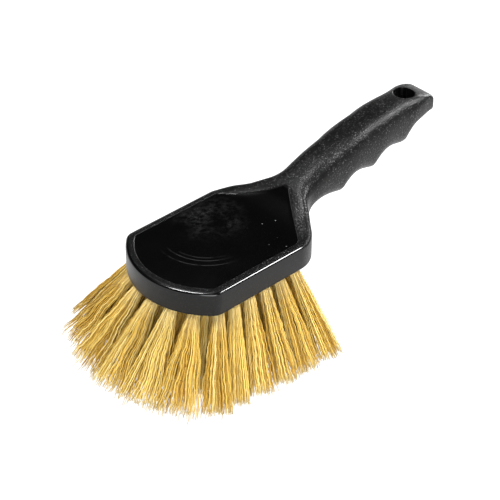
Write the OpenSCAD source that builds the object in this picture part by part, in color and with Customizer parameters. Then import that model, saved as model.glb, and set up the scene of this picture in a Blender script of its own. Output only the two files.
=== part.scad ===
// Short-handled wheel brush: one plastic moulding, flared tufts of filament,
// and a flat wire anchor that holds each tuft in its drilled hole.
// The nose points to -X, the handle to +X, and the brush stands on its tufts at Z = 0.

/* [Block] */
// Width of the block
block_w = 76.2; // [66:0.1:92]
// Thickness of the block
block_t = 15.4; // [13:0.1:20]
// Radius of the curved nose, seen from above
nose_r = 48.6; // [47:0.1:60]
// Radius of the corners between nose and sides
corner_r = 8; // [6:0.5:12]
// Length of the straight sides
side_len = 58.6; // [50:0.1:72]
// Radius of the shoulders behind the sides
shoulder_r = 20; // [16:0.5:24]
// How far the shoulders turn in towards the handle, in degrees
shoulder_turn = 53; // [46:1:58]
// Rounding of the top edge
top_round = 2; // [1:0.1:3]
// Rounding of the bottom edge
bottom_round = 0.8; // [0.4:0.1:1.2]
// Depth of the smooth panel set into the top
panel_depth = 0.6; // [0.3:0.1:1]
// Width of the rim around the panel
panel_rim = 4.5; // [3.5:0.1:5.5]

/* [Handle] */
// Overall length of the moulding
overall_len = 215.9; // [200:0.1:262]
// Height of the handle's highest point over the block's top
handle_rise = 33; // [28:0.5:40]
// Width of the neck, the narrowest part behind the block
neck_w = 26; // [22:0.1:30]
// Radius of the hollows where the shoulders meet the neck
neck_r = 14; // [8:0.5:20]
// Widest part of the grip
grip_w = 27.2; // [24:0.1:34]
// Depth of the grip, from its top to the finger crests
grip_t = 30.5; // [26:0.5:36]
// Width of the squared end
tip_w = 21; // [17:0.1:24]
// Depth of the finger hollows on the underside
finger_depth = 5.4; // [2:0.1:6]
// Depth of the longer hollow under the neck
neck_depth = 6.6; // [3:0.1:8]
// Diameter of the hanging hole
hang_d = 12.7; // [8:0.1:14]
// Distance from the hanging hole's centre to the handle's end
hang_inset = 15.5; // [13:0.1:20]

/* [Tufts] */
// Length of the filament outside the block
trim_len = 57.2; // [44:0.1:70]
// Diameter of the drilled holes
hole_d = 6.4; // [5:0.1:7.4]
// Depth of the drilled holes along their axis
hole_depth = 11; // [9:0.5:13]
// Gap between a tuft and the wall of its hole
tuft_gap = 0.1; // [0.05:0.01:0.2]
// Diameter of an outer tuft at its tip
outer_tip_d = 14; // [9:0.1:15]
// Diameter of an inner tuft at its tip
inner_tip_d = 13; // [9:0.1:15]
// Distance between tufts along the sides
pitch = 11; // [10:0.1:13]
// Distance from the block's outline to the outer tufts
ring_inset = 6; // [5.8:0.1:8]
// Lean of the side tufts, in degrees
side_lean = 29; // [15:1:32]
// Lean of the foremost tuft, in degrees
nose_lean = 38; // [20:1:40]

/* [Wire anchors] */
// Thickness of the flat wire
wire_t = 0.5; // [0.3:0.05:0.7]
// Width of the flat wire, along the hole
wire_w = 1.9; // [1.2:0.1:2.4]
// How far each end of the wire bites into the hole's wall
wire_bite = 0.35; // [0.2:0.05:0.5]
// Distance from the hole's bottom to the wire
wire_lift = 1; // [0.5:0.1:2]

/* [Hidden] */
$fn = 48;

// The corner's circle touches both the nose's circle and the side's line
half_w = block_w / 2;
corner_y = half_w - corner_r;
corner_x = nose_r - sqrt(pow(nose_r - corner_r, 2) - pow(corner_y, 2));
corner_turn = atan2(corner_y, nose_r - corner_x);

// Each shoulder is an arc, a straight run inwards and a hollow that meets the neck
shoulder_x = corner_x + side_len;
shoulder_y = half_w - shoulder_r;
run_x = shoulder_x + shoulder_r * sin(shoulder_turn);
run_y = shoulder_y + shoulder_r * cos(shoulder_turn);
hollow_y = neck_w / 2 + neck_r * (1 - cos(shoulder_turn));
hollow_x = run_x + (run_y - hollow_y) / tan(shoulder_turn);
neck_x = hollow_x + neck_r * sin(shoulder_turn);

// The handle starts as a ramp on the block's top and ends squared off
ramp_x = shoulder_x + 5;
reach = overall_len - ramp_x;
end_round = 1.5;
fingers = 3;
crest_x = neck_x + 24;
finger_pitch = (overall_len + end_round - crest_x) / fingers;
station_step = 2.2;
quarter_steps = 6;

// Lines of the handle, each a list of [share of its reach, value]
top_line = [
    [0, 0], [0.04, 0.04], [0.1, 0.16], [0.155, 0.34], [0.24, 0.51], [0.34, 0.672],
    [0.5, 0.845], [0.65, 0.96], [0.8, 1.01], [0.9, 0.995], [0.955, 0.95], [1, 0.88]
];
depth_line = [
    [0.42, 1.02], [0.62, 1.04], [0.81, 0.93], [0.91, 0.71], [0.955, 0.53], [1, 0.33]
];

// Tufts: an outer row that follows the nose and sides, and straight rows inside it.
// Lean grows with the distance from the fan's middle, so the tufts splay out.
fan_x = 72;
ring_y = half_w - ring_inset;
ring_r = nose_r - ring_inset;
first_x = corner_x + 2.5;
side_count = floor((shoulder_x - first_x + 0.5) / pitch);
nose_step = asin(1.15 * pitch / ring_r);
lean_y = tan(side_lean) / ring_y;
lean_x = tan(nose_lean) / (fan_x - ring_inset);
heel_x = first_x + (side_count + 1) * pitch + hole_d;

outer_xy = concat(
    [for (i = [-2:2]) [nose_r - ring_r * cos(i * nose_step), ring_r * sin(i * nose_step)]],
    [for (side = [-1, 1], i = [0:side_count]) [first_x + i * pitch, side * ring_y]]
);
inner_xy = concat(
    [[first_x - 0.57 * pitch, 0]],
    [for (side = [-1, 1], i = [0:side_count]) [first_x + (i + 0.5) * pitch, side * 0.6 * ring_y]],
    [for (side = [-1, 1], i = [0:side_count + 1]) [first_x + i * pitch, side * 0.2 * ring_y]]
);
tuft_xy = concat(outer_xy, inner_xy);
outer_count = len(outer_xy);
tuft_ids = [0:len(tuft_xy) - 1];

function slope(i) = [lean_x * (tuft_xy[i].x - fan_x), lean_y * tuft_xy[i].y, -1];
function aim(i) = slope(i) / norm(slope(i));
function lean(i) = acos(-aim(i).z);
function tip_r(i) = (i < outer_count ? outer_tip_d : inner_tip_d) / 2;

// Everything is laid out from the nose at X = 0 and the block's top at Z = 0, then moved
// home, so that the origin is under the middle of the brush where it stands
tuft_drop = max([for (i = tuft_ids) trim_len * cos(lean(i)) + tip_r(i) * sin(lean(i))]);
foremost = max([for (i = tuft_ids)
    tip_r(i) * sqrt(1 - pow(aim(i).x, 2)) - tuft_xy[i].x - trim_len * aim(i).x]);
home = [(foremost - overall_len) / 2, 0, block_t + tuft_drop];

TUFTS = [for (i = tuft_ids)
    i < outer_count ? str("outer_tuft_", i + 1) : str("inner_tuft_", i + 1 - outer_count)];

// Smooth curve through a list of [x, value] points, and a smooth step from 0 to 1
function tangent(line, i) =
    let (a = max(i - 1, 0), b = min(i + 1, len(line) - 1))
    (line[b][1] - line[a][1]) / (line[b][0] - line[a][0]);
function along(line, x, i = 0) =
    i < len(line) - 2 && x > line[i + 1][0] ? along(line, x, i + 1) :
    let (
        w = line[i + 1][0] - line[i][0],
        t = min(max((x - line[i][0]) / w, 0), 1),
        a = line[i][1],
        b = line[i + 1][1],
        ta = tangent(line, i) * w,
        tb = tangent(line, i + 1) * w
    )
    a + ta * t + (3 * (b - a) - 2 * ta - tb) * t * t + (2 * (a - b) + ta + tb) * t * t * t;
function ease(from, to, x) =
    let (t = min(max((x - from) / (to - from), 0), 1))
    t * t * (3 - 2 * t);
function mix(a, b, t) = a + (b - a) * t;

// Outline of the block from above, moved inwards by inset, from one shoulder round the nose
// to the other. A level is one such outline at its height, bottom edge first.
function arc(cx, cy, r, from, to, steps, first = 0) =
    [for (i = [first:steps])
        let (a = from + (to - from) * i / steps)
        [cx + r * cos(a), cy + r * sin(a)]];
function half_outline(inset) = concat(
    [[shoulder_x, half_w - inset]],
    arc(corner_x, corner_y, corner_r - inset, 90, 180 - corner_turn, 4),
    arc(nose_r, 0, nose_r - inset, 180 - corner_turn, 180, 14, 1)
);
function outline(inset) =
    let (half = half_outline(inset), n = len(half))
    concat(half, [for (i = [n - 2:-1:0]) [half[i].x, -half[i].y]]);
function level(inset, z) = [for (p = outline(inset)) [p.x, p.y, z]];
levels = concat(
    [for (k = [0:quarter_steps])
        let (a = 90 * k / quarter_steps)
        level(bottom_round * (1 - sin(a)), bottom_round * (1 - cos(a)) - block_t)],
    [for (k = [0:quarter_steps])
        let (a = 90 * k / quarter_steps)
        level(top_round * (1 - cos(a)), top_round * (sin(a) - 1))]
);

// Height of the top, height of the bottom and half width, at each place along the handle
function top_z(x) = handle_rise * along(top_line, (x - ramp_x) / reach);
function grip_z(x) = top_z(x) - grip_t * along(depth_line, (x - ramp_x) / reach);
function bottom_z(x) =
    x <= heel_x ? -block_t :
    x < crest_x ?
        let (t = (x - heel_x) / (crest_x - heel_x))
        mix(-block_t, grip_z(crest_x), t) + neck_depth * sin(180 * t) :
    let (s = (x - crest_x) / finger_pitch, t = s - floor(s))
    grip_z(x) + finger_depth * pow(sin(180 * pow(t, 0.8)), 1.2);
function half_width(x) =
    x <= shoulder_x ? half_w :
    x <= run_x ? shoulder_y + sqrt(pow(shoulder_r, 2) - pow(x - shoulder_x, 2)) :
    x <= hollow_x ? run_y - (x - run_x) * tan(shoulder_turn) :
    x <= neck_x ? neck_w / 2 + neck_r - sqrt(pow(neck_r, 2) - pow(neck_x - x, 2)) :
    along([
        [neck_x, neck_w / 2], [mix(neck_x, overall_len, 0.1), neck_w / 2],
        [mix(neck_x, overall_len, 0.35), grip_w / 2], [mix(neck_x, overall_len, 0.6), grip_w / 2],
        [mix(neck_x, overall_len, 0.85), mix(grip_w, tip_w, 0.4) / 2], [overall_len, tip_w / 2]
    ], x);

// One cross-section: its corners grow from the block's edge roundings into a rounded grip
function section(x) =
    let (
        over = max(0, x - overall_len + end_round),
        shrink = end_round - sqrt(pow(end_round, 2) - pow(over, 2)),
        t = top_z(x) - shrink,
        b = bottom_z(x) + shrink,
        w = half_width(x) - shrink,
        above = ease(shoulder_x, neck_x, x),
        below = ease(heel_x - 8, neck_x + 6, x),
        side_t = mix(top_round, 0.85 * w, above),
        side_b = mix(bottom_round, 0.85 * w, below),
        drop = mix(top_round, 0.5 * (t - b), above),
        lift = mix(bottom_round, 0.48 * (t - b), below),
        square = 2 / mix(2, mix(2.5, 5, ease(overall_len - 20, overall_len, x)), above),
        right = concat(
            [for (k = [0:quarter_steps])
                let (a = 90 * k / quarter_steps)
                [x, w - side_b * (1 - pow(sin(a), square)), b + lift * (1 - pow(cos(a), square))]],
            [for (k = [0:quarter_steps])
                let (a = 90 * k / quarter_steps)
                [x, w - side_t * (1 - pow(cos(a), square)), t - drop * (1 - pow(sin(a), square))]]
        ),
        n = len(right)
    )
    concat(right, [for (i = [n - 1:-1:0]) [x, -right[i].y, right[i].z]]);

// The moulding's skin: the levels round the nose, then the sections back to the handle's end
module moulding() {
    side = len(levels);
    edge = len(levels[0]);
    front = side * edge;
    stations = ceil((overall_len - end_round - shoulder_x) / station_step);
    end_steps = 4;
    sections = concat(
        [for (k = [1:stations]) section(mix(shoulder_x, overall_len - end_round, k / stations))],
        [for (k = [1:end_steps]) section(overall_len - end_round + end_round * sin(85 * k / end_steps))]
    );
    function at(s, j) =
        s > 0 ? front + (s - 1) * 2 * side + j :
        j < side ? j * edge : (2 * side - 1 - j) * edge + edge - 1;
    polyhedron(
        points = concat([for (l = levels) for (p = l) p], [for (s = sections) for (p = s) p]),
        faces = concat(
            [for (l = [0:side - 2], p = [0:edge - 2])
                let (a = l * edge + p)
                [a, a + edge, a + edge + 1, a + 1]],
            [[for (p = [0:edge - 1]) p]],
            [[for (p = [edge - 1:-1:0]) (side - 1) * edge + p]],
            [for (s = [0:len(sections) - 1], j = [0:2 * side - 1])
                let (k = (j + 1) % (2 * side))
                [at(s, j), at(s + 1, j), at(s + 1, k), at(s, k)]],
            [[for (j = [2 * side - 1:-1:0]) at(len(sections), j)]]
        )
    );
}

// The panel follows the outline and ends at the foot of the handle's ramp
module panel_pocket() {
    translate([0, 0, -panel_depth])
        linear_extrude(panel_depth + 1)
            polygon(outline(panel_rim));
}

// Places its children along a tuft: +Z out of the hole, and +X in the plane of its lean
module along_tuft(i) {
    d = aim(i);
    translate([tuft_xy[i].x, tuft_xy[i].y, -block_t])
        rotate([0, acos(d.z), atan2(d.y, d.x)])
            children();
}

module hole(i) {
    along_tuft(i) translate([0, 0, -hole_depth]) cylinder(h = hole_depth + 4, d = hole_d);
}

// The flat wire lies on edge across the hole, and both its ends bite into the wall
module wire(i) {
    along_tuft(i)
        translate([-wire_t / 2, -hole_d / 2 - wire_bite, wire_lift - hole_depth])
            cube([wire_t, hole_d + 2 * wire_bite, wire_w]);
}

module block_and_handle() {
    color([0.06, 0.06, 0.065]) translate(home) difference() {
        moulding();
        panel_pocket();
        for (i = tuft_ids) hole(i);
        for (i = tuft_ids) wire(i);
        translate([overall_len - hang_inset, 0, -block_t])
            cylinder(h = block_t + 2 * handle_rise, d = hang_d);
    }
}

module anchor_wires() {
    color("silver") translate(home) for (i = tuft_ids) wire(i);
}

// A tuft fills its hole, runs straight past the hole's slanted mouth and then flares
module tuft(i) {
    root_r = hole_d / 2 - tuft_gap;
    straight = hole_d / 2 * tan(lean(i)) + 0.5;
    color([0.93, 0.8, 0.45]) translate(home) difference() {
        along_tuft(i) rotate_extrude() polygon([
            [0, -hole_depth], [root_r, -hole_depth], [root_r, straight], [tip_r(i), trim_len], [0, trim_len]
        ]);
        wire(i);
    }
}

block_and_handle();
anchor_wires();
for (i = tuft_ids) tuft(i);
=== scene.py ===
import math

import bpy
import numpy as np
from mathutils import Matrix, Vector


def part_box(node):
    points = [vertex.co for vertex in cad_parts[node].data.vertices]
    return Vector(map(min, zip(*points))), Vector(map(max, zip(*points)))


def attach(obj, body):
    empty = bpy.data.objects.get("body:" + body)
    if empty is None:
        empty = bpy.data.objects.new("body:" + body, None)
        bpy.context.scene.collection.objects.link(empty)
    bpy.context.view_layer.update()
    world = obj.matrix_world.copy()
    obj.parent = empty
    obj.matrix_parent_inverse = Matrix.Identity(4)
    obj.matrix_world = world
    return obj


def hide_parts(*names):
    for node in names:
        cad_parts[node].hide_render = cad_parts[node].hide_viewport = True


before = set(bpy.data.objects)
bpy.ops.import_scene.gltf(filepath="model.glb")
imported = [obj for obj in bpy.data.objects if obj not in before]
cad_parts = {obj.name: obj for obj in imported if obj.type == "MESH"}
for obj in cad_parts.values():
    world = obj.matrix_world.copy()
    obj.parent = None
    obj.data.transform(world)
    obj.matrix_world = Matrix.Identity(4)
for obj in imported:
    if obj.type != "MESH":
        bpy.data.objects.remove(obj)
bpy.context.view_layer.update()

# ---- Block and handle ------------------------------------------------------------------------
# One injection moulding in black polypropylene: a rounded block, a neck that rises out of its
# shoulders and an arched grip with finger hollows. The skin is grained, apart from the polished
# panel that is set into the block's top and runs up the neck to a point.

mm = 0.001
low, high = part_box("block_and_handle")
length = (high.x - low.x) / mm
half_w = (high.y - low.y) / 2 / mm
block_t = 15.4
home = np.array([low.x, 0, low.z + block_t * mm])  # under the nose, level with the block's top

nose_r, corner_r, side_len = 48.6, 8, 58.6
shoulder_r, shoulder_turn = 20, math.radians(53)
neck_half, neck_r = 13, 14
grip_half, grip_t, tip_half, end_round = 13.6, 30.5, 10.5, 1.5
handle_rise, finger_depth, neck_depth = 33, 5.4, 6.6
top_round, bottom_round = 2, 0.8
hang_r, hang_inset = 6.35, 15.5

corner_y = half_w - corner_r
corner_x = nose_r - math.sqrt((nose_r - corner_r) ** 2 - corner_y**2)
corner_turn = math.atan2(corner_y, nose_r - corner_x)
shoulder_x = corner_x + side_len
shoulder_y = half_w - shoulder_r
run_x = shoulder_x + shoulder_r * math.sin(shoulder_turn)
run_y = shoulder_y + shoulder_r * math.cos(shoulder_turn)
hollow_y = neck_half + neck_r * (1 - math.cos(shoulder_turn))
hollow_x = run_x + (run_y - hollow_y) / math.tan(shoulder_turn)
neck_x = hollow_x + neck_r * math.sin(shoulder_turn)
ramp_x = shoulder_x + 5
heel_x = 96.25
crest_x = neck_x + 24
finger_pitch = (length + end_round - crest_x) / 3

# Lines of the handle: share of its reach, and height or depth there
top_line = [
    (0, 0), (0.04, 0.04), (0.1, 0.16), (0.155, 0.34), (0.24, 0.51), (0.34, 0.672),
    (0.5, 0.845), (0.65, 0.96), (0.8, 1.01), (0.9, 0.995), (0.955, 0.95), (1, 0.88),
]
depth_line = [(0.42, 1.02), (0.62, 1.04), (0.81, 0.93), (0.91, 0.71), (0.955, 0.53), (1, 0.33)]

# The panel: how wide its rim is and how far that falls outwards, how deep the panel lies and
# where its point ends, and its lip as steps of (distance outwards, share of depth)
rim, rim_fall = 4.5, 0.35
panel_depth, panel_end, panel_slope = 0.6, 105.5, 1.46
lip = [(0.7, 0), (0.56, 0.05), (0.44, 0.2), (0.3, 0.6), (0.16, 0.92), (0, 1)]
centre_strip = 0.6
floor_shares = (0.75, 0.5, 0.25, 0)

# How finely the skin is drawn: points along a side, round a corner and round the nose, and the
# number of cross-sections from the shoulders to the handle's end
side_points, corner_points, nose_points = 13, 11, 23
section_count = 108


def mix(a, b, t):
    return a + (b - a) * t


def ease(start, end, x):
    t = min(max((x - start) / (end - start), 0), 1)
    return t * t * (3 - 2 * t)


def along(line, x):
    """Value at x of a smooth curve through the line's points."""
    i = 0
    while i < len(line) - 2 and x > line[i + 1][0]:
        i += 1

    def slope(k):
        before, after = line[max(k - 1, 0)], line[min(k + 1, len(line) - 1)]
        return (after[1] - before[1]) / (after[0] - before[0])

    (x0, a), (x1, b) = line[i], line[i + 1]
    w = x1 - x0
    t = min(max((x - x0) / w, 0), 1)
    ta, tb = slope(i) * w, slope(i + 1) * w
    return a + ta * t + (3 * (b - a) - 2 * ta - tb) * t**2 + (2 * (a - b) + ta + tb) * t**3


def top_z(x):
    return handle_rise * along(top_line, (x - ramp_x) / (length - ramp_x))


def grip_z(x):
    return top_z(x) - grip_t * along(depth_line, (x - ramp_x) / (length - ramp_x))


def bottom_z(x):
    if x <= heel_x:
        return -block_t
    if x < crest_x:
        t = (x - heel_x) / (crest_x - heel_x)
        return mix(-block_t, grip_z(crest_x), t) + neck_depth * math.sin(math.pi * t)
    t = (x - crest_x) / finger_pitch % 1
    return grip_z(x) + finger_depth * math.sin(math.pi * t**0.8) ** 1.2


def half_width(x):
    if x <= run_x:
        return shoulder_y + math.sqrt(shoulder_r**2 - (x - shoulder_x) ** 2)
    if x <= hollow_x:
        return run_y - (x - run_x) * math.tan(shoulder_turn)
    if x <= neck_x:
        return neck_half + neck_r - math.sqrt(neck_r**2 - (neck_x - x) ** 2)
    return along([
        (neck_x, neck_half), (mix(neck_x, length, 0.1), neck_half),
        (mix(neck_x, length, 0.35), grip_half), (mix(neck_x, length, 0.6), grip_half),
        (mix(neck_x, length, 0.85), mix(grip_half, tip_half, 0.4)), (length, tip_half),
    ], x)


def panel_half(x):
    """Half the width of the panel's floor: it follows the sides, then closes in to its point."""
    a, b = half_w - rim - lip[0][0], panel_slope * (panel_end - x)
    blend = panel_slope * (panel_end - shoulder_x) - a
    h = max(blend - abs(a - b), 0) / blend
    return max(min(a, b) - h * h * blend / 4, centre_strip)


quarter = np.radians(np.linspace(0, 90, 11))

# Finish of the points round the top edge, from the wall up to the rim
edge_finishes = [0, -0.4, -0.9, -1, -1, -1, -1, -1, -0.9, 0, 1]


def half_section(x):
    """Right half of the cross-section at x, bottom centre first, as rows of (y, z, finish).

    The finish is 1 on the grained skin, 0 on the plain walls and -1 where it is polished.
    """
    shrink = end_round - math.sqrt(end_round**2 - max(0, x - length + end_round) ** 2)
    t, b, w = top_z(x) - shrink, bottom_z(x) + shrink, half_width(x) - shrink
    above, below = ease(shoulder_x, neck_x, x), ease(heel_x - 8, neck_x + 6, x)
    square = 2 / mix(2, mix(2.5, 5, ease(length - 20, length, x)), above)
    side_t, drop = mix(top_round, 0.85 * w, above), mix(top_round, 0.5 * (t - b), above)
    side_b, lift = mix(bottom_round, 0.85 * w, below), mix(bottom_round, 0.48 * (t - b), below)
    grained = ease(shoulder_x - 5, shoulder_x + 16, x)
    in_panel = 1 - ease(panel_end - 1.3, panel_end - 0.3, x)
    rows = [(0, b, grained)]
    for a in quarter:
        y = w - side_b * (1 - math.sin(a) ** square)
        rows.append((y, b + lift * (1 - math.cos(a) ** square), grained))
    fall = rim_fall * (1 - above)
    for a, edge_finish in zip(quarter, edge_finishes):
        y = w - side_t * (1 - math.cos(a) ** square)
        z = t - fall - (drop - fall) * (1 - math.sin(a) ** square)
        rows.append((y, z, mix(edge_finish, 1, grained)))
    for out, depth in lip:
        y = panel_half(x) + out
        rows.append((y, t - depth * panel_depth * in_panel, 1 - 2 * in_panel * depth))
    for share in floor_shares:
        rows.append((share * panel_half(x), t - panel_depth * in_panel, 1 - 2 * in_panel))
    return rows


def front_outline(inset):
    """Outline of the block from one shoulder round the nose to the other, moved inwards."""
    half = [(x, half_w - inset) for x in np.linspace(shoulder_x, corner_x, side_points)]
    for a in np.linspace(math.pi / 2, math.pi - corner_turn, corner_points)[1:]:
        r = corner_r - inset
        half.append((corner_x + r * math.cos(a), corner_y + r * math.sin(a)))
    for a in np.linspace(math.pi - corner_turn, math.pi, nose_points)[1:]:
        r = nose_r - inset
        half.append((nose_r + r * math.cos(a), r * math.sin(a)))
    return half + [(x, -y) for x, y in half[-2::-1]]


def skin(name, rows):
    """A grid primitive with its points laid on the rows, each of them (x, y, z, finish)."""
    rows = np.array(rows)
    count, across = rows.shape[:2]
    bpy.ops.mesh.primitive_grid_add(x_subdivisions=across - 1, y_subdivisions=count - 1)
    made = bpy.context.object
    made.name = name
    points = rows[..., :3].reshape(-1, 3) * mm + home
    made.data.vertices.foreach_set("co", points.astype(np.float32).ravel())
    finish = made.data.attributes.new("finish", "FLOAT", "POINT")
    finish.data.foreach_set("value", rows[..., 3].astype(np.float32).ravel())
    return made


def tuft_axis(node):
    """Middle of the folded end and of the tip of a CAD tuft, in metres."""
    points = np.array([v.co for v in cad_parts[node].data.vertices])
    points = np.unique(points.round(6), axis=0)
    direction = np.linalg.svd(points - points.mean(0), full_matrices=False)[2][0]
    direction *= -np.sign(direction[2])
    reach = points @ direction
    near, far = points[reach < reach.min() + 0.4 * mm], points[reach > reach.max() - 0.4 * mm]
    return (near.min(0) + near.max(0)) / 2, (far.min(0) + far.max(0)) / 2


tufts = [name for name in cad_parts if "tuft" in name]
axes = {name: tuft_axis(name) for name in tufts}

bpy.ops.object.select_all(action="DESELECT")
edge = half_section(shoulder_x)[1:-len(floor_shares)]  # from the bottom's rim up into the panel
front = skin("front", [
    [(x, y, z, finish) for x, y in front_outline(half_w - edge_y)] for edge_y, z, finish in edge
])
stations = list(np.linspace(shoulder_x, length - end_round, section_count))
stations += [
    length - end_round + end_round * math.sin(a) for a in np.radians([20, 40, 60, 75, 86])
]
rings = []
for x in stations:
    half = [(x, y, z, finish) for y, z, finish in half_section(x)]
    rings.append(half + [(x, -y, z, finish) for x, y, z, finish in half[-2::-1]])
moulding = skin("moulding", rings)
front.select_set(True)
bpy.ops.object.join()
bpy.ops.object.mode_set(mode="EDIT")
bpy.ops.mesh.select_all(action="SELECT")
bpy.ops.mesh.remove_doubles(threshold=0.01 * mm)
bpy.ops.mesh.fill_holes(sides=0)
bpy.ops.mesh.select_all(action="SELECT")
bpy.ops.mesh.normals_make_consistent(inside=False)
bpy.ops.object.mode_set(mode="OBJECT")


def cut(piece, cutters):
    """Joins the cutters and takes them out of the piece."""
    bpy.ops.object.select_all(action="DESELECT")
    for tool in cutters:
        tool.select_set(True)
    bpy.context.view_layer.objects.active = cutters[0]
    if len(cutters) > 1:
        bpy.ops.object.join()
    difference = piece.modifiers.new("difference", "BOOLEAN")
    difference.object = cutters[0]
    difference.solver = "EXACT"
    bpy.ops.object.select_all(action="DESELECT")
    bpy.context.view_layer.objects.active = piece
    piece.select_set(True)
    bpy.ops.object.modifier_apply(modifier=difference.name)
    bpy.data.objects.remove(cutters[0])


# The holes are drilled along the tufts, and the hanging hole has a softened lip
hole_r, drill_length = 3.2, 16
drills = []
for root, tip in axes.values():
    direction = (tip - root) / np.linalg.norm(tip - root)
    turn = math.acos(direction[2]), math.atan2(direction[1], direction[0])
    bpy.ops.mesh.primitive_cylinder_add(
        vertices=32, radius=hole_r * mm, depth=drill_length * mm,
        location=root + direction * drill_length / 2 * mm, rotation=(0, *turn),
    )
    drills.append(bpy.context.object)
cut(moulding, drills)

hang_x = length - hang_inset
hang_drill, hang_lip = 40, 0.7
hang_lip_steps = ((0.35, 1.02), (0.25, 1.035), (0.3, 1.08), (0.8, 1.1))  # rise and growth
bpy.ops.mesh.primitive_cylinder_add(
    vertices=96, radius=hang_r * mm, depth=hang_drill * mm,
    location=home + np.array([hang_x, 0, top_z(hang_x) - hang_drill / 2 - hang_lip]) * mm,
)
drill = bpy.context.object
bpy.ops.object.mode_set(mode="EDIT")
bpy.ops.mesh.select_all(action="DESELECT")
bpy.ops.object.mode_set(mode="OBJECT")
for face in drill.data.polygons:
    face.select = face.normal.z > 0.9
bpy.ops.object.mode_set(mode="EDIT")
for rise, grow in hang_lip_steps:
    bpy.ops.mesh.extrude_region_move(TRANSFORM_OT_translate={"value": (0, 0, rise * mm)})
    bpy.ops.transform.resize(value=(grow, grow, 1))
bpy.ops.object.mode_set(mode="OBJECT")
cut(moulding, [drill])
bpy.ops.object.shade_smooth_by_angle(angle=math.radians(32))


class Signal:
    """One output of a material's nodes. Arithmetic on signals adds Math nodes."""

    def __init__(self, tree, socket=None):
        self.tree, self.socket = tree, socket

    def node(self, kind, sockets=(), output=0, **settings):
        made = self.tree.nodes.new("ShaderNode" + kind)
        for name, setting in settings.items():
            if name == "stops":
                for spare in list(made.color_ramp.elements)[1:]:
                    made.color_ramp.elements.remove(spare)
                for k, (place, colour) in enumerate(setting):
                    stop = made.color_ramp.elements.new(place) if k else made.color_ramp.elements[0]
                    stop.position, stop.color = place, (*colour, 1)
            else:
                setattr(made, name, setting)
        for name, given in dict(sockets).items():
            if isinstance(given, Signal):
                self.tree.links.new(given.socket, made.inputs[name])
            else:
                made.inputs[name].default_value = given
        return Signal(self.tree, made.outputs[output])

    def math(self, operation, a, b=0.0):
        return self.node("Math", {0: a, 1: b}, operation=operation)

    def __add__(self, other):
        return self.math("ADD", self, other)

    def __sub__(self, other):
        return self.math("SUBTRACT", self, other)

    def __rsub__(self, other):
        return self.math("SUBTRACT", other, self)

    def __mul__(self, other):
        return self.math("MULTIPLY", self, other)

    __radd__, __rmul__ = __add__, __mul__

    def over(self, start, end):
        """0 below start, 1 above end, and even between them."""
        return self.node("MapRange", {"Value": self, "From Min": start, "From Max": end})

    def distance(self, x, y):
        """Distance in metres from a spot on the block's top, given in millimetres from its nose."""
        spot = tuple(home + np.array([x, y, 0]) * mm)
        return self.node("VectorMath", {0: self, 1: spot}, output=1, operation="DISTANCE")

    def colours(self, a, b):
        """Colour a where the signal is 0, and b where it is 1."""
        return self.node("Mix", {0: self, 6: a, 7: b}, output=2, data_type="RGBA")


def material(name, metallic=0.0, ior=1.5, **constants):
    """A Principled material: its starting signal, and a function that links its sockets."""
    made = bpy.data.materials.new(name)
    made.use_nodes = True
    tree = made.node_tree
    shader = tree.nodes["Principled BSDF"]
    shader.inputs["Metallic"].default_value = metallic
    shader.inputs["IOR"].default_value = ior
    for socket, value in constants.items():
        shader.inputs[socket.replace("_", " ")].default_value = value

    def link(**signals):
        for socket, signal in signals.items():
            tree.links.new(signal.socket, shader.inputs[socket.replace("_", " ")])

    return made, Signal(tree), link


# The lighter grey serves both the wear on the panel and the painted glints on the grain
black, scuff_and_glint_grey = (0.0008, 0.0008, 0.0009, 1), (0.09, 0.09, 0.09, 1)
dust_grey = (0.22, 0.22, 0.22, 1)


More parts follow.
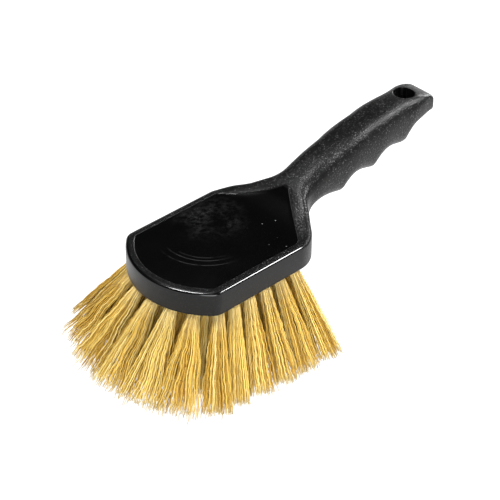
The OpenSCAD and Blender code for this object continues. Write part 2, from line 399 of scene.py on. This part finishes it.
def moulded_plastic():
    """Black plastic: leather grain where the mould was etched, with painted glints on it, and worn
    gloss where polished.
    """
    made, start, link = material(
        "moulded_plastic", ior=1.48, Specular_IOR_Level=0.28, Coat_Roughness=0.12)
    place = start.node("TexCoord", output=3)
    finish = start.node("Attribute", attribute_name="finish", output=2)
    grained, polished = finish.over(0, 1), finish.over(0, -1)

    # Leather grain: cells about a millimetre across with a finer noise on them
    warp = start.node("TexNoise", {"Vector": place, "Scale": 900.0, "Detail": 1.0}, output=1)
    bent = start.node("Mix", {0: 0.0006, 6: place, 7: warp}, output=2, data_type="RGBA")
    cells = start.node("TexVoronoi", {"Vector": bent, "Scale": 1000.0}, feature="F1")
    pores = cells.over(0.1, 0.62)
    fine = start.node("TexNoise", {"Vector": place, "Scale": 1250.0, "Detail": 1.0})
    relief = (pores * 0.8 + fine * 0.4) * grained
    bump = start.node("Bump", {"Strength": 0.65, "Distance": 0.00017, "Height": relief})
    # Painted highlight: bright specks painted into the grain's colour stand in for the sparkle of
    # light on it
    painted_glint = fine.over(0.57, 0.68) * cells.over(0.6, 0.3) * grained

    # Wear on the panel: a cloudy patch, three scrubbed arcs and specks of dust
    clouds = start.node("TexNoise", {"Vector": place, "Scale": 60.0, "Detail": 5.0})
    mottle = start.node("TexNoise", {"Vector": place, "Scale": 420.0, "Detail": 4.0}).over(0.4, 0.7)
    patch = place.distance(62, 18).over(0.024, 0.006) * clouds.over(0.35, 0.62) * mottle * polished
    swing = place.distance(52, 8)
    streaks = start.node("TexNoise", {"Vector": place, "Scale": 95.0, "Detail": 2.0})
    arcs = sum(
        start.math("ABSOLUTE", swing - radius).over(0.0005, 0.0001) * strength
        for radius, strength in ((0.0235, 0.7), (0.0262, 1.0), (0.0305, 0.8))
    )
    forward = start.node("SeparateXYZ", {0: place}).over(home[0] + 0.048, home[0] + 0.036)
    near_side = start.node("SeparateXYZ", {0: place}, output=1).over(0.014, 0.004)
    arcs = arcs * streaks.over(0.4, 0.54) * forward * near_side * polished
    dust = start.node("TexVoronoi", {"Vector": place, "Scale": 260.0}).over(0.11, 0.07)
    rare = start.node("TexNoise", {"Vector": place, "Scale": 90.0}).over(0.4, 0.5)
    specks = dust * rare * place.distance(80, -19).over(0.02, 0.01) * polished

    # The colour mixes the painted glints on the grain with the real wear on the panel and a faint
    # random tone
    tone = painted_glint + patch * 0.16 + arcs * 0.2 + clouds * 0.006
    colour = tone.colours(black, scuff_and_glint_grey)
    link(
        Base_Color=specks.colours(colour, dust_grey),
        Roughness=(pores * 0.12 - 0.06) * grained - polished * 0.18 + clouds * 0.08
        + (patch + arcs) * 0.2 + 0.31,
        Coat_Weight=polished * 0.8 - (patch + arcs) * 0.4,
        Normal=bump,
    )
    return made


moulding.data.materials.clear()
moulding.data.materials.append(moulded_plastic())
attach(moulding, "root")
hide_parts("block_and_handle")

# ---- Wire anchors ------------------------------------------------------------------------------
# A short piece of drawn flat steel wire crosses the bottom of each hole. It is driven in with
# the folded tuft round it and bites into the hole's wall.


def drawn_wire():
    """Bright steel with fine lines along the way it was drawn."""
    made, start, link = material("drawn_wire", metallic=1.0)
    place = start.node("TexCoord", output=3)
    streaks = start.node("Mapping", {"Vector": place, "Scale": (6000.0, 300.0, 6000.0)})
    lines = start.node("TexNoise", {"Vector": streaks, "Scale": 1.0, "Detail": 3.0})
    link(
        Base_Color=lines.colours((0.42, 0.41, 0.4, 1), (0.66, 0.65, 0.63, 1)),
        Roughness=lines * 0.25 + 0.25,
    )
    return made


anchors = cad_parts["anchor_wires"]
anchors.data.materials.clear()
anchors.data.materials.append(drawn_wire())

# ---- Tufts -------------------------------------------------------------------------------------
# Crimped plastic filament in cream yellow. Each tuft is a bundle of strands folded over its
# wire, so it fills its hole, comes out round and then opens into locks with ragged, greyer tips.

strand_r, crimps = 0.35, 23
mouth = 0.011  # from the fold to where the strands start to spread, in metres
outer_strands, inner_strands, locks = 120, 84, 11
outer_tip_r, inner_tip_r, nose_spread, corner_spread = 8.5, 7.6, 2.7, 1.3
lock_grip, stray_share, long_share, short_share, dark_share = 0.8, 0.03, 0.08, 0.12, 0.18
golden_angle = math.pi * (3 - math.sqrt(5))

# One strand, standing on the origin: a three-sided rod, cut across once for each half crimp
bpy.ops.object.select_all(action="DESELECT")
bpy.ops.mesh.primitive_cylinder_add(vertices=3, radius=strand_r * mm, depth=1, location=(0, 0, 0.5))
strand = bpy.context.object
bpy.ops.object.mode_set(mode="EDIT")
bpy.ops.mesh.select_mode(type="EDGE")
bpy.ops.mesh.select_all(action="DESELECT")
bpy.ops.object.mode_set(mode="OBJECT")
points = strand.data.vertices
for rib in strand.data.edges:
    low_end, high_end = (points[k].co.z for k in rib.vertices)
    rib.select = abs(low_end - high_end) > 0.5
bpy.ops.object.mode_set(mode="EDIT")
bpy.ops.mesh.subdivide(number_cuts=crimps - 1)
bpy.ops.object.mode_set(mode="OBJECT")
strand_points = np.array([v.co for v in strand.data.vertices]) + (0, 0, 0.5)
strand_faces = [list(f.vertices) for f in strand.data.polygons]
bpy.data.objects.remove(strand)


# The paler cream is a painted highlight for the strands near their roots
tip_grey, painted_root_light = (0.42, 0.35, 0.2, 1), (0.92, 0.78, 0.42, 1)
shades = [
    (0.0, (0.3, 0.155, 0.016)), (0.3, (0.62, 0.37, 0.05)),
    (0.65, (0.8, 0.565, 0.125)), (1.0, (0.93, 0.77, 0.31)),
]


def filament():
    """Golden-cream filament: every strand has its own shade, its split tip is greyer, and a painted
    highlight makes it paler near its root.
    """
    made, start, link = material("filament", ior=1.49, Specular_IOR_Level=0.4)
    shade = start.node("Attribute", attribute_name="shade", output=2)
    reach = start.node("Attribute", attribute_name="reach", output=2)
    place = start.node("TexCoord", output=3)
    mottle = start.node("TexNoise", {"Vector": place, "Scale": 260.0, "Detail": 3.0})
    tone = shade * 0.85 + mottle * 0.3 - 0.08
    body = tone.node("ValToRGB", {0: tone}, stops=shades)
    # Painted highlight: towards the root the strands are painted paler, as if lit from above
    root_lit_body = (reach.over(0.42, 0.2) * 0.4).colours(body, painted_root_light)
    link(
        Base_Color=(reach.over(0.93, 1.0) * 0.55).colours(root_lit_body, tip_grey),
        Roughness=mottle * 0.2 + 0.36,
    )
    return made


def bundle(name, count, tip_r, seed):
    """All strands of one tuft as one mesh, from its fold to its ragged tips."""
    rng = np.random.default_rng(seed)
    root, tip = axes[name]
    axis = (tip - root) / np.linalg.norm(tip - root)
    side = np.cross(axis, (0, 0, 1.0))
    side /= np.linalg.norm(side)
    other = np.cross(axis, side)
    length = np.linalg.norm(tip - root)
    place = (root - home)[0] / mm
    wild = 1 - 0.7 * ease(corner_x - 4, corner_x + 12, place)
    at_corner = corner_x - 10 < place < corner_x + 5
    widen = corner_spread if at_corner else 1  # the tufts there close the gap at the corner

    # Even places over a disc, turned into locks that draw together a little
    k = np.arange(count)
    angle = k * golden_angle + rng.uniform(0, 6)
    disc = np.sqrt((k + 0.5) / count)[:, None] * np.stack([np.cos(angle), np.sin(angle)], 1)
    turn = np.arange(locks) * 2.4 + rng.uniform(0, 6)
    centres = np.sqrt((np.arange(locks) + 0.5) / locks)[:, None]
    centres = centres * np.stack([np.cos(turn), np.sin(turn)], 1)
    centres += rng.normal(0, 0.08, centres.shape)
    lock = ((disc[:, None] - centres[None]) ** 2).sum(2).argmin(1)
    drawn = centres[lock] + (disc - centres[lock]) * lock_grip + rng.normal(0, 0.04, disc.shape)
    stray = rng.random(count) < stray_share
    drawn[stray] *= rng.uniform(1.1, 1.4, stray.sum())[:, None]

    # How long each strand is, and where the points along it are
    reach = length + rng.normal(0, 0.45 + 0.45 * wild, count) * mm
    long = rng.random(count) < long_share + 0.14 * wild
    reach[long] += rng.uniform(0.5, 1.5 + 3.2 * wild, long.sum()) * mm
    short = rng.random(count) < short_share
    reach[short] -= rng.uniform(1, 8, short.sum()) * mm
    t = strand_points[:, 2]
    s = t[None] * reach[:, None]
    out = np.clip((s - mouth) / (length - mouth), 0, 1.2)
    flare = out**1.05
    root_r = (hole_r - strand_r) * mm

    # Each lock waves as a whole, and its strands are crimped together
    wave_way = rng.uniform(0, 6.28, locks)[lock]
    wave = (0.25 + 0.4 * wild) * mm * np.sin(
        s / (rng.uniform(2.6, 4.4, locks)[lock][:, None] * mm)
        + rng.uniform(0, 6.28, locks)[lock][:, None]) * np.minimum(out * 2, 1)
    way = rng.normal(0, 0.3 + 0.3 * wild, count)
    flip = (rng.random(locks) < 0.4 * wild)[lock]
    step = np.rint(t * crimps).astype(int)
    zigzag = np.where((step[None] + flip[:, None]) % 2, 1.0, -1.0)
    crimp = zigzag * rng.uniform(0.1, 0.26, count)[:, None] * mm * np.clip(out * 5, 0, 1)
    sway = rng.normal(0, 0.8, 2) * mm

    u = disc[:, :1] * root_r * (1 - flare) + drawn[:, :1] * tip_r * widen * mm * flare
    v = disc[:, 1:] * root_r * (1 - flare) + drawn[:, 1:] * tip_r * mm * flare
    u = u + wave * np.cos(wave_way)[:, None] + crimp * np.cos(way)[:, None] + sway[0] * flare**2
    v = v + wave * np.sin(wave_way)[:, None] + crimp * np.sin(way)[:, None] + sway[1] * flare**2

    # The strand's own section: pressed thin in the hole, and thin again at its split tip
    thin = np.interp(t, (0, 0.2, 0.5, 0.84, 1), (0.6, 0.75, 1, 1, 0.5))
    spin = rng.uniform(0, 6.28, count)[:, None]
    x, y = strand_points[:, 0] * thin, strand_points[:, 1] * thin
    size = rng.uniform(0.8, 1.15, count)[:, None] * np.where(long, 0.75, 1.0)[:, None]
    u = u + (x * np.cos(spin) - y * np.sin(spin)) * size
    v = v + (x * np.sin(spin) + y * np.cos(spin)) * size
    co = root + s[..., None] * axis + u[..., None] * side + v[..., None] * other
    co[..., 2] = np.maximum(co[..., 2], 0.2 * mm)

    each = len(strand_points)
    faces = [[v + each * k for v in face] for k in range(count) for face in strand_faces]
    mesh = bpy.data.meshes.new(name + "_strands")
    mesh.from_pydata(co.reshape(-1, 3).tolist(), [], faces)
    shade = rng.normal(0.57, 0.28, count) + rng.normal(0, 0.08, locks)[lock]
    shade[rng.random(count) < dark_share] -= 0.45
    for attribute, values in (
        ("shade", np.repeat(np.clip(shade, 0, 1), each)), ("reach", np.tile(t, count)),
    ):
        made = mesh.attributes.new(attribute, "FLOAT", "POINT")
        made.data.foreach_set("value", values.astype(np.float32))
    mesh.shade_smooth()
    piece = bpy.data.objects.new(name + "_strands", mesh)
    bpy.context.scene.collection.objects.link(piece)
    return piece


cream = filament()
for number, name in enumerate(sorted(tufts)):
    outer = name.startswith("outer")
    count, tip_r = (outer_strands, outer_tip_r) if outer else (inner_strands, inner_tip_r)
    fan = 1 - ease(corner_x - 4, corner_x + 12, (axes[name][0] - home)[0] / mm)
    piece = bundle(name, count, tip_r + nose_spread * fan, seed=100 + number)
    piece.data.materials.append(cream)
    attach(piece, "root")
    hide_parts(name)

# ---- Table, light and camera ------------------------------------------------------------------
# The brush stands on its tufts on a white table. Two small lamps overhead draw the bright lines
# along the block's edges, a third comes from behind, and a wide one fills in from the front.

bpy.ops.object.select_all(action="DESELECT")
bpy.ops.mesh.primitive_plane_add(size=12, location=(0, 0, 0))
table = bpy.context.object
table.name = "table"
white = material(
    "white_table", Roughness=0.9, Base_Color=(0.22, 0.22, 0.22, 1),
    Emission_Color=(1, 1, 1, 1), Emission_Strength=1.02)[0]
table.data.materials.append(white)


def soft_light(name, place, aim, size, power):
    data = bpy.data.lights.new(name, "AREA")
    data.shape, data.size, data.size_y = "RECTANGLE", size[0], size[1]
    data.energy = power
    lamp = bpy.data.objects.new(name, data)
    lamp.location = place
    way = np.array(aim) - np.array(place)
    lamp.rotation_euler = (
        math.acos(-way[2] / np.linalg.norm(way)), 0, math.atan2(-way[0], way[1]))
    bpy.context.scene.collection.objects.link(lamp)


soft_light("key", (0.62, -0.42, 0.92), (0, 0, 0.05), (0.28, 0.28), 13.5)
soft_light("overhead", (-0.295, 0.2, 1.12), (-0.05, 0, 0.07), (0.16, 0.4), 13)
soft_light("rim", (1.0, 0.25, 0.42), (0, 0, 0.07), (0.22, 0.22), 5)
soft_light("front", (-0.7, -0.95, 0.5), (0, 0, 0.05), (0.9, 0.7), 12)

# The room is bright round the horizon and dark overhead, so that black plastic stays black
world = bpy.data.worlds.new("studio")
world.use_nodes = True
bpy.context.scene.world = world
sky = Signal(world.node_tree)
height = sky.node("SeparateXYZ", {0: sky.node("TexCoord", output=0)}, output=2)
glow = height.node("ValToRGB", {0: height}, stops=[
    (0.0, (0.9, 0.9, 0.9)), (0.12, (0.7, 0.7, 0.7)), (0.28, (0.006, 0.006, 0.006)),
    (1.0, (0.01, 0.01, 0.01))])
backdrop = world.node_tree.nodes["Background"]
world.node_tree.links.new(glow.socket, backdrop.inputs["Color"])
backdrop.inputs["Strength"].default_value = 1.0
bpy.context.scene.view_settings.view_transform = "Standard"

azimuth, elevation, distance = math.radians(-42.83), math.radians(36.22), 1.02743
aim = home + np.array([46.95, -32.05, 11.6]) * mm
back = np.array([
    math.sin(azimuth) * math.cos(elevation),
    -math.cos(azimuth) * math.cos(elevation),
    math.sin(elevation),
])
lens = bpy.data.cameras.new("camera")
lens.sensor_width, lens.lens = 36, 136.8
camera = bpy.data.objects.new("camera", lens)
camera.location = aim + back * distance
camera.rotation_euler = (math.pi / 2 - elevation, 0, azimuth)
bpy.context.scene.collection.objects.link(camera)
bpy.context.scene.camera = camera
